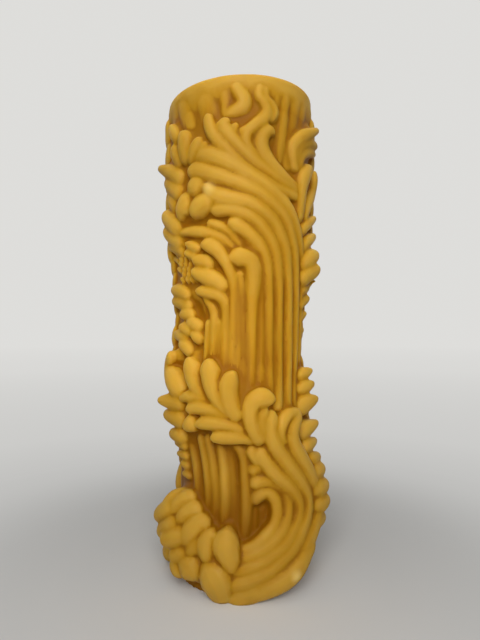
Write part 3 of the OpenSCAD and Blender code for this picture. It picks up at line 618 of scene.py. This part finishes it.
def turnShaft(target, levelAt):
    soft = shaft["rimRound"]
    inward, sunk = shaft["dishMiddle"]
    wall = [(ground(z), z) for z in np.arange(0, shaftTop - soft, shaft["ring"])]
    rim = [(rimRadius - soft + soft * math.cos(a), shaftTop - soft + soft * math.sin(a))
           for a in np.radians(np.linspace(0, 90, shaft["rimSteps"]))]
    dish = [(inward * rimRadius, shaftTop - sunk * shaft["dish"]), (0, shaftTop - shaft["dish"])]
    profile = [(r * mm, z * mm) for r, z in [(0, 0)] + wall + rim + dish]
    bm = spun(profile, shaft["segments"], shaft["weld"])
    lean = math.tan(math.radians(shaft["topSlant"]))
    wallTop = shaftTop - shaft["slantDepth"]
    for v in bm.verts:
        radius, z = v.co.xy.length / mm, v.co.z / mm
        if radius > shaft["core"] and z < wallTop:
            turn = math.degrees(math.atan2(v.co.x, -v.co.y))
            v.co.xy *= (radius + levelAt(turn, z)) / radius
        if v.co.z > wallTop * mm:
            v.co.z += v.co.x * lean
    joinInto(target, bm)


def addObject(name, data):
    obj = bpy.data.objects.new(name, data)
    bpy.context.scene.collection.objects.link(obj)
    return obj


def finishedMesh(obj):
    bpy.context.view_layer.update()
    return bpy.data.meshes.new_from_object(obj.evaluated_get(bpy.context.evaluated_depsgraph_get()))


def applyModifiers(obj):
    finished = finishedMesh(obj)
    obj.modifiers.clear()
    old, obj.data = obj.data, finished
    bpy.data.meshes.remove(old)


def carvedWax():
    fullness = carver["fullness"]
    motif = traced(flames, fullness["flame"])
    motif += traced(curl + hollowFlutes, fullness["strand"])
    motif += traced(wave, fullness["wave"]) + traced(scroll, fullness["scroll"])
    motif += traced(crestLobes + leaf + footLobes + scaleLobes(), fullness["lobe"])
    edge = traced(rightLobes, fullness["lobe"])
    lowEdge = [[(turn, z, min(rise, back["edgeRise"]), half) for turn, z, rise, half in points]
               for points in edge]
    strands = motif + turnedBack(motif + lowEdge, back["rise"])
    strands += edge + traced(leftLobes + neckFlutes, fullness["lobe"])
    strands += ringLobes(neckRibs) + ringLobes(lowLeaves) + ringLobes(footLeaves)
    for frond in fronds:
        strands += frondLobes(*frond)
    deep = traced(hollows)
    deep += turnedBack(deep)
    bm = bmesh.new()
    for points in strands:
        carveStrand(bm, points)
    turnShaft(bm, bedUnder(strands + deep))
    print("strands carved:", len(strands))
    return addObject("wax_carving", meshOf(bm, "wax_carving"))


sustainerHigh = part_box("wick_sustainer")[1]
wickLow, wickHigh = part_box("wick")
wickRadius = (wickHigh.x - wickLow.x) / 2
room = dict(clearance=0.05 * mm, sheet=0.4 * mm, belowBase=6 * mm, reach=60 * mm, segments=64, weld=1e-7)


def baseCutter():
    # everything under the base, the recess for the sustainer and the bore for the wick, in one turned shape
    discR = sustainerHigh.x + room["clearance"]
    collarR = wickRadius + room["sheet"] + 2 * room["clearance"]
    boreR = wickRadius + room["clearance"]
    sheetTop = room["sheet"] + room["clearance"]
    collarTop = sustainerHigh.z + room["clearance"]
    low, high = -room["belowBase"], wickHigh.z + room["belowBase"]
    profile = [(0, low), (room["reach"], low), (room["reach"], 0), (discR, 0), (discR, sheetTop),
               (collarR, sheetTop), (collarR, collarTop), (boreR, collarTop), (boreR, high), (0, high)]
    bm = spun(profile, room["segments"], room["weld"])
    bmesh.ops.recalc_face_normals(bm, faces=bm.faces[:])
    return addObject("base_cutter", meshOf(bm, "base_cutter"))


def vertexValues(mesh, name):
    values = np.empty(len(mesh.vertices) * 3)
    mesh.vertices.foreach_get(name, values)
    return values.reshape(-1, 3)


def storeShares(mesh, name, shares):
    layer = mesh.attributes.new(name, 'FLOAT', 'POINT')
    layer.data.foreach_set("value", shares.astype(np.float32))


creases = dict(
    passes=60,            # smoothing of the surface that a crease is measured against
    depth=0.52,           # millimetres below it that count as a full crease
)


def markCreases(mesh):
    # how far each point lies from the softened surface round it, from 0 in a crease to 1 on a ridge
    count = len(mesh.vertices)
    places, normals = vertexValues(mesh, "co"), vertexValues(mesh, "normal")
    pairs = np.empty(len(mesh.edges) * 2, dtype=np.int32)
    mesh.edges.foreach_get("vertices", pairs)
    a, b = pairs.reshape(-1, 2).T
    degree = np.bincount(a, minlength=count) + np.bincount(b, minlength=count)
    soft = places.copy()
    for _ in range(creases["passes"]):
        for k in range(3):
            total = np.bincount(a, soft[b, k], count) + np.bincount(b, soft[a, k], count)
            soft[:, k] = (soft[:, k] + total / degree) / 2
    relief = ((places - soft) * normals).sum(axis=1) / (creases["depth"] * mm)
    storeShares(mesh, "relief", np.clip((1 + relief) / 2, 0, 1))


depths = dict(
    spread=9,
    start=0.8,            # millimetres below the softened height at which a hollow starts to count,
    full=2.8,             # and at which it counts in full
    # height, and how strongly a hollow is painted in shade there
    shares=[(42, 1), (52, 0.1), (70, 0.2), (112, 0.3), (132, 0.1)],
    rows=160,
    columns=180,
    headroom=4,           # the sheet reaches this far above the rim
    least=1e-6,           # weight of an empty place
)


def markDepths(mesh):
    # how far each point lies below the softened height of the carving round it, from 0 to 1, as the mask of
    # the wax's painted shade in the hollows
    x, y, z = vertexValues(mesh, "co").T / mm
    radius = np.hypot(x, y)
    span = shaftTop + depths["headroom"]
    row = np.clip(z / span * depths["rows"], 0, depths["rows"] - 1).astype(int)
    column = (np.degrees(np.arctan2(x, -y)) % 360 / 360 * depths["columns"]).astype(int)
    outside = radius > shaft["core"]
    level = np.zeros((depths["rows"], depths["columns"]))
    weight = np.zeros_like(level)
    np.add.at(level, (row[outside], column[outside]), radius[outside])
    np.add.at(weight, (row[outside], column[outside]), 1)
    level = softenedSheet(level, depths["spread"], span)
    weight = softenedSheet(weight, depths["spread"], span)
    below = (level / np.maximum(weight, depths["least"]))[row, column] - radius
    depth = np.where(outside, (below - depths["start"]) / (depths["full"] - depths["start"]), 0)
    heights, shares = zip(*depths["shares"])
    storeShares(mesh, "depth", np.clip(depth, 0, 1) * np.interp(z, heights, shares))


def makeWax():
    wax = carvedWax()
    remesh = wax.modifiers.new("cast", 'REMESH')
    remesh.mode = 'VOXEL'
    remesh.voxel_size = carver["voxel"] * mm
    applyModifiers(wax)
    print("wax cast:", len(wax.data.polygons), "faces")
    soften = wax.modifiers.new("soften", 'SMOOTH')
    soften.factor = carver["smoothShare"]
    soften.iterations = carver["smoothPasses"]
    cutter = baseCutter()
    cut = wax.modifiers.new("base", 'BOOLEAN')
    cut.operation = 'DIFFERENCE'
    cut.solver = 'MANIFOLD'
    cut.object = cutter
    applyModifiers(wax)
    bpy.data.objects.remove(cutter)
    wax.data.calc_loop_triangles()
    thin = wax.modifiers.new("thin", 'DECIMATE')
    thin.ratio = min(1, carver["triangles"] / len(wax.data.loop_triangles))
    applyModifiers(wax)
    wax.data.calc_loop_triangles()
    print("wax finished:", len(wax.data.loop_triangles), "triangles")
    wax.name = wax.data.name = "wax_carving"
    wax.data.shade_smooth()
    wax.data.set_sharp_from_angle(angle=math.radians(carver["sharp"]))
    markCreases(wax.data)
    markDepths(wax.data)
    return wax


def newMaterial(name):
    mat = bpy.data.materials.new(name)
    mat.use_nodes = True
    return mat, mat.node_tree, mat.node_tree.nodes["Principled BSDF"]


def setInputs(node, values):
    for name, value in values.items():
        node.inputs[name].default_value = value


def feed(tree, source, socket):
    # a socket is linked, and a plain value is set
    if isinstance(source, bpy.types.NodeSocket):
        tree.links.new(source, socket)
    else:
        socket.default_value = source


def objectPlace(tree):
    return tree.nodes.new('ShaderNodeTexCoord').outputs["Object"]


def attributeValue(tree, name):
    node = tree.nodes.new('ShaderNodeAttribute')
    node.attribute_name = name
    return node.outputs["Fac"]


def worked(tree, operation, *sources, kind='ShaderNodeMath'):
    node = tree.nodes.new(kind)
    node.operation = operation
    for source, socket in zip(sources, node.inputs):
        feed(tree, source, socket)
    return node.outputs["Value"]


def largest(tree, sources):
    total = sources[0]
    for source in sources[1:]:
        total = worked(tree, 'MAXIMUM', total, source)
    return total


def ranged(tree, value, span, result, interpolation='LINEAR'):
    # the two ends of the value's span, and what they become
    node = tree.nodes.new('ShaderNodeMapRange')
    node.interpolation_type = interpolation
    setInputs(node, {"From Min": span[0], "From Max": span[1], "To Min": result[0], "To Max": result[1]})
    tree.links.new(value, node.inputs["Value"])
    return node.outputs["Result"]


def ramped(tree, value, stops, interpolation='LINEAR'):
    # stops are pairs of position and colour
    node = tree.nodes.new('ShaderNodeValToRGB')
    node.color_ramp.interpolation = interpolation
    elements = node.color_ramp.elements
    elements.remove(elements[1])
    for i, (position, colour) in enumerate(stops):
        element = elements[0] if i == 0 else elements.new(position)
        element.position = position
        element.color = (*colour, 1)
    tree.links.new(value, node.inputs["Fac"])
    return node.outputs["Color"]


def mixed(tree, factor, first, second, blend='MIX'):
    node = tree.nodes.new('ShaderNodeMix')
    node.data_type = 'RGBA'
    node.blend_type = blend
    for name, source in (("Factor", factor), ("A", first), ("B", second)):
        feed(tree, source, node.inputs[name])
    return node.outputs["Result"]


def bumped(tree, shader, height, strength, depth):
    node = tree.nodes.new('ShaderNodeBump')
    setInputs(node, {"Strength": strength, "Distance": depth})
    tree.links.new(height, node.inputs["Height"])
    tree.links.new(node.outputs["Normal"], shader.inputs["Normal"])


mottleLook = [("Cloud", 70.0, 3.0), ("Grain", 900.0, 2.0)]  # output, usual scale, detail


def mottleGroup():
    # slow cloudy variation and fine grain, used by the wax and the waxed cotton
    group = bpy.data.node_groups.new("waxMottle", 'ShaderNodeTree')
    for name, scale, detail in mottleLook:
        socket = group.interface.new_socket(name + " Scale", in_out='INPUT', socket_type='NodeSocketFloat')
        socket.default_value = scale
    for name, scale, detail in mottleLook:
        group.interface.new_socket(name, in_out='OUTPUT', socket_type='NodeSocketFloat')
    nodes, links = group.nodes, group.links
    given, out = nodes.new('NodeGroupInput'), nodes.new('NodeGroupOutput')
    place = objectPlace(group)
    for name, scale, detail in mottleLook:
        noise = nodes.new('ShaderNodeTexNoise')
        noise.inputs["Detail"].default_value = detail
        links.new(place, noise.inputs["Vector"])
        links.new(given.outputs[name + " Scale"], noise.inputs["Scale"])
        links.new(noise.outputs["Fac"], out.inputs[name])
    return group


def mottled(tree, mottle, cloudScale, grainScale):
    node = tree.nodes.new('ShaderNodeGroup')
    node.node_tree = mottle
    setInputs(node, {"Cloud Scale": cloudScale, "Grain Scale": grainScale})
    return node.outputs["Cloud"], node.outputs["Grain"]


waxLook = dict(
    # from a crease over the body to a ridge: painted shade in the creases and a painted highlight on the
    # ridges
    relief=[(0.18, (0.33, 0.125, 0.002)), (0.5, (0.56, 0.283, 0.014)), (0.95, (0.67, 0.38, 0.046))],
    cloudTint=(0.47, 0.235, 0.01), cloudRange=(0.45, 0.75), cloudShare=0.45,
    # painted shade in the hollows, laid over the colour by the depth attribute
    deep=(0.22, 0.08, 0.001), paintedHollowShadeShare=0.9,
    # colour of the pale spots, a painted highlight on the crest tip
    highlightAndPaleSpotColour=(0.74, 0.51, 0.15), highlightAndPaleSpotShare=0.75,
    # height, and the painted light and shade there: the wax is darker towards the foot and the rim and
    # lighter in the middle
    paintedHeightShades=[(0, 0.68), (20, 0.76), (40, 0.82), (58, 0.94), (70, 1.03), (104, 1.0), (118, 0.93), (134, 0.82),
           (157, 0.86)],
    subsurface=0.55, subsurfaceRadius=(1.0, 0.6, 0.15), subsurfaceScale=1.9 * mm,
    roughRange=(0.3, 0.7), roughness=(0.42, 0.56), sheen=0.09, ior=1.44,
    mottle=(70, 1100), bump=0.12, bumpDepth=0.3 * mm,
)

# Pale spots, a painted highlight on the crest tip and a pale patch low on the scroll: (column, row, rise
# above the shaft, radius)
highlightAndPaleSpots = [(207, 187, 4.4, 3.4), (297, 577, 8.4, 2.8)]


def highlightAndPaleSpotMask(tree, place):
    spots = []
    for column, row, rise, radius in highlightAndPaleSpots:
        turn, height, rise = seenAt(column, row, rise)
        middle = wrap(turn, height, ground(height) + rise)
        away = worked(tree, 'DISTANCE', place, middle, kind='ShaderNodeVectorMath')
        spots.append(ranged(tree, away, (radius * mm, 0), (0, waxLook["highlightAndPaleSpotShare"]), 'SMOOTHSTEP'))
    return largest(tree, spots)


# painted light and shade by height, multiplied into the wax colour
def paintedHeightShade(tree, place):
    parts = tree.nodes.new('ShaderNodeSeparateXYZ')
    tree.links.new(place, parts.inputs["Vector"])
    top = waxLook["paintedHeightShades"][-1][0]
    upBody = worked(tree, 'DIVIDE', parts.outputs["Z"], top * mm)
    stops = [(height / top, (shade, shade, shade)) for height, shade in waxLook["paintedHeightShades"]]
    return ramped(tree, upBody, stops, 'EASE')


def waxMaterial(mottle):
    mat, tree, shader = newMaterial("beeswax")
    look = waxLook
    place = objectPlace(tree)
    cloud, grain = mottled(tree, mottle, *look["mottle"])
    # painted shade in the creases and painted highlights on the ridges, by the relief attribute
    colour = ramped(tree, attributeValue(tree, "relief"), look["relief"])
    cloudy = ranged(tree, cloud, look["cloudRange"], (0, look["cloudShare"]))
    colour = mixed(tree, cloudy, colour, (*look["cloudTint"], 1))
    # painted light and shade by height: darker towards the foot and the rim
    colour = mixed(tree, 1, colour, paintedHeightShade(tree, place), 'MULTIPLY')
    # painted shade in the hollows, darker where the carving lies deep
    sunk = worked(tree, 'MULTIPLY', attributeValue(tree, "depth"), look["paintedHollowShadeShare"])
    colour = mixed(tree, sunk, colour, (*look["deep"], 1))
    # pale spots: a painted highlight on the crest tip and a pale patch low on the scroll
    colour = mixed(tree, highlightAndPaleSpotMask(tree, place), colour, (*look["highlightAndPaleSpotColour"], 1))
    tree.links.new(colour, shader.inputs["Base Color"])
    tree.links.new(ranged(tree, cloud, look["roughRange"], look["roughness"]), shader.inputs["Roughness"])
    bumped(tree, shader, grain, look["bump"], look["bumpDepth"])
    setInputs(shader, {
        "Subsurface Weight": look["subsurface"], "Subsurface Radius": look["subsurfaceRadius"],
        "Subsurface Scale": look["subsurfaceScale"], "IOR": look["ior"], "Specular IOR Level": look["sheen"],
    })
    return mat


wickLook = dict(cotton=(0.78, 0.70, 0.50), soaked=(0.62, 0.45, 0.16), roughness=0.75, sheen=0.3,
                mottle=(500, 3500), bump=0.5, bumpDepth=0.1 * mm)


def wickMaterial(mottle):
    mat, tree, shader = newMaterial("waxed_cotton")
    look = wickLook
    cloud, grain = mottled(tree, mottle, *look["mottle"])
    colour = mixed(tree, cloud, (*look["cotton"], 1), (*look["soaked"], 1))
    tree.links.new(colour, shader.inputs["Base Color"])
    bumped(tree, shader, grain, look["bump"], look["bumpDepth"])
    setInputs(shader, {"Roughness": look["roughness"], "Sheen Weight": look["sheen"]})
    return mat


tinLook = dict(metal=(0.66, 0.66, 0.65), dull=(0.5, 0.49, 0.47), roughness=(0.28, 0.5),
               rolling=(60, 4000, 400))


def tinMaterial():
    mat, tree, shader = newMaterial("tinned_steel")
    rolled = tree.nodes.new('ShaderNodeMapping')
    rolled.inputs["Scale"].default_value = tinLook["rolling"]
    tree.links.new(objectPlace(tree), rolled.inputs["Vector"])
    noise = tree.nodes.new('ShaderNodeTexNoise')
    noise.inputs["Scale"].default_value = 1
    tree.links.new(rolled.outputs["Vector"], noise.inputs["Vector"])
    streaks = noise.outputs["Fac"]
    colour = mixed(tree, streaks, (*tinLook["metal"], 1), (*tinLook["dull"], 1))
    tree.links.new(colour, shader.inputs["Base Color"])
    tree.links.new(ranged(tree, streaks, (0, 1), tinLook["roughness"]), shader.inputs["Roughness"])
    shader.inputs["Metallic"].default_value = 1
    return mat


braid = dict(
    strands=8, plaitRadius=0.95 * mm, yarnRadius=0.42 * mm, weave=0.12 * mm, pitch=9 * mm, step=0.45 * mm,
    roundness=2, coreSegments=24,
)


def makeWick():
    # half of the yarns wind one way and half the other, passing over and under each other
    curve = bpy.data.curves.new("wick_braid", 'CURVE')
    curve.dimensions = '3D'
    curve.bevel_depth = braid["yarnRadius"]
    curve.bevel_resolution = braid["roundness"]
    curve.use_fill_caps = True
    length = wickHigh.z - wickLow.z - 2 * braid["yarnRadius"]
    count = int(length / braid["step"])
    each = braid["strands"] // 2
    for i in range(braid["strands"]):
        hand = 1 if i < each else -1
        start = (i % each) * math.tau / each
        spline = curve.splines.new('POLY')
        spline.points.add(count)
        for k, point in enumerate(spline.points):
            rise = k * length / count
            turn = start + hand * math.tau * rise / braid["pitch"]
            r = braid["plaitRadius"] + braid["weave"] * math.cos(each * turn) * hand
            point.co = (r * math.cos(turn), r * math.sin(turn), wickLow.z + braid["yarnRadius"] + rise, 1)
    yarns = addObject("wick_braid", curve)
    mesh = finishedMesh(yarns)
    bpy.data.objects.remove(yarns)
    bm = bmesh.new()
    bm.from_mesh(mesh)
    core = bmesh.ops.create_cone(bm, cap_ends=True, segments=braid["coreSegments"], depth=length,
                                 radius1=braid["plaitRadius"], radius2=braid["plaitRadius"])["verts"]
    bmesh.ops.translate(bm, verts=core, vec=(0, 0, (wickLow.z + wickHigh.z) / 2))
    bmesh.ops.recalc_face_normals(bm, faces=bm.faces[:])
    bm.to_mesh(mesh)
    bm.free()
    mesh.name = "wick_braid"
    mesh.shade_smooth()
    print("wick braided:", len(mesh.polygons), "faces")
    return addObject("wick_braid", mesh)


studio = dict(
    wall=(0.73, 0.725, 0.705), ambient=0.12, ambientTint=(1, 0.985, 0.96),
    floorSize=30.0, floorRoughness=0.9,
    fade=(0.045, 0.16),   # distances over which the lit floor turns into a glow of its painted shades, seen by camera rays and reflections
    # distance, and the floor's painted shade there: darkest in a ring round the object as a painted soft
    # shadow and fall-off of the light
    floorPaintedShades=[(0.03, 0.66), (0.06, 0.64), (0.085, 0.59), (0.15, 0.535), (0.24, 0.60), (0.95, 0.69),
                 (3.0, 0.73)],
    # name, place, size and watts
    lamps=[("key", (-0.02, -0.51, 0.34), 0.36, 2.95), ("top", (-0.05, -0.15, 0.60), 0.4, 0.5),
           ("back", (0.1, 0.5, 0.5), 0.5, 0.15)],
)


def seenDirectly(tree):
    # 1 for rays from the camera, straight or by way of a reflection or a refraction
    path = tree.nodes.new('ShaderNodeLightPath')
    kinds = ("Is Camera Ray", "Is Glossy Ray", "Is Transmission Ray")
    return largest(tree, [path.outputs[kind] for kind in kinds])


def mixShaders(tree, factor, first, second, output):
    mix = tree.nodes.new('ShaderNodeMixShader')
    tree.links.new(factor, mix.inputs["Fac"])
    tree.links.new(first, mix.inputs[1])
    tree.links.new(second, mix.inputs[2])
    tree.links.new(mix.outputs["Shader"], tree.nodes[output].inputs["Surface"])


def floorMaterial():
    # matt floor round the object with painted shade, darkest in a ring round it, which further off glows
    # with these painted shades for camera rays and reflections
    mat, tree, shader = newMaterial("pale_floor")
    away = worked(tree, 'LENGTH', objectPlace(tree), kind='ShaderNodeVectorMath')
    reach = studio["floorPaintedShades"][-1][0]
    spread = worked(tree, 'SQRT', worked(tree, 'DIVIDE', away, reach))
    warm = [channel / studio["wall"][0] for channel in studio["wall"]]
    shades = ramped(tree, spread, [(math.sqrt(far / reach), [shade * channel for channel in warm])
                                   for far, shade in studio["floorPaintedShades"]])
    tree.links.new(shades, shader.inputs["Base Color"])
    setInputs(shader, {"Roughness": studio["floorRoughness"], "Specular IOR Level": 0})
    floorGlow = tree.nodes.new('ShaderNodeEmission')
    tree.links.new(shades, floorGlow.inputs["Color"])
    fade = ranged(tree, away, studio["fade"], (0, 1), 'SMOOTHSTEP')
    amount = worked(tree, 'MULTIPLY', fade, seenDirectly(tree))
    mixShaders(tree, amount, shader.outputs["BSDF"], floorGlow.outputs["Emission"], "Material Output")
    return mat


def makeFloor():
    bm = bmesh.new()
    bmesh.ops.create_grid(bm, x_segments=2, y_segments=2, size=studio["floorSize"])
    mesh = meshOf(bm, "floor")
    floor = addObject("floor", mesh)
    mesh.materials.append(floorMaterial())


def makeWorld():
    world = bpy.data.worlds.new("studio")
    bpy.context.scene.world = world
    world.use_nodes = True
    tree = world.node_tree
    light = tree.nodes["Background"]
    setInputs(light, {"Color": (*studio["ambientTint"], 1), "Strength": studio["ambient"]})
    wall = tree.nodes.new('ShaderNodeBackground')
    wall.inputs["Color"].default_value = (*studio["wall"], 1)
    mixShaders(tree, seenDirectly(tree), light.outputs["Background"], wall.outputs["Background"],
               "World Output")


def makeLamps():
    middle = (cadLow + cadHigh) / 2
    for name, place, size, watts in studio["lamps"]:
        lamp = bpy.data.lights.new(name, 'AREA')
        lamp.size = size
        lamp.energy = watts
        obj = addObject(name, lamp)
        obj.location = place
        obj.rotation_euler = (middle - obj.location).to_track_quat('-Z', 'Y').to_euler()


def makeCamera():
    data = bpy.data.cameras.new("photo_view")
    data.sensor_width = view["sensor"]
    data.lens = data.sensor_width * view["focalPixels"] / max(view["frame"])
    data.clip_start = view["clip"]
    camera = addObject("photo_view", data)
    camera.location = Vector(view["place"]) * mm
    camera.rotation_euler = (math.radians(90 + view["pitch"]), 0, 0)
    bpy.context.scene.camera = camera


makeFloor()
makeWorld()
makeLamps()
bpy.context.scene.view_settings.view_transform = 'Standard'
makeCamera()
print("studio ready")

mottle = mottleGroup()
wax = makeWax()
wax.data.materials.clear()
wax.data.materials.append(waxMaterial(mottle))
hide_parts("wax_body")
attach(wax, "root")

wick = makeWick()
wick.data.materials.clear()
wick.data.materials.append(wickMaterial(mottle))
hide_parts("wick")
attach(wick, "root")

tin = tinMaterial()
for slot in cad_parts["wick_sustainer"].material_slots:
    slot.material = tin
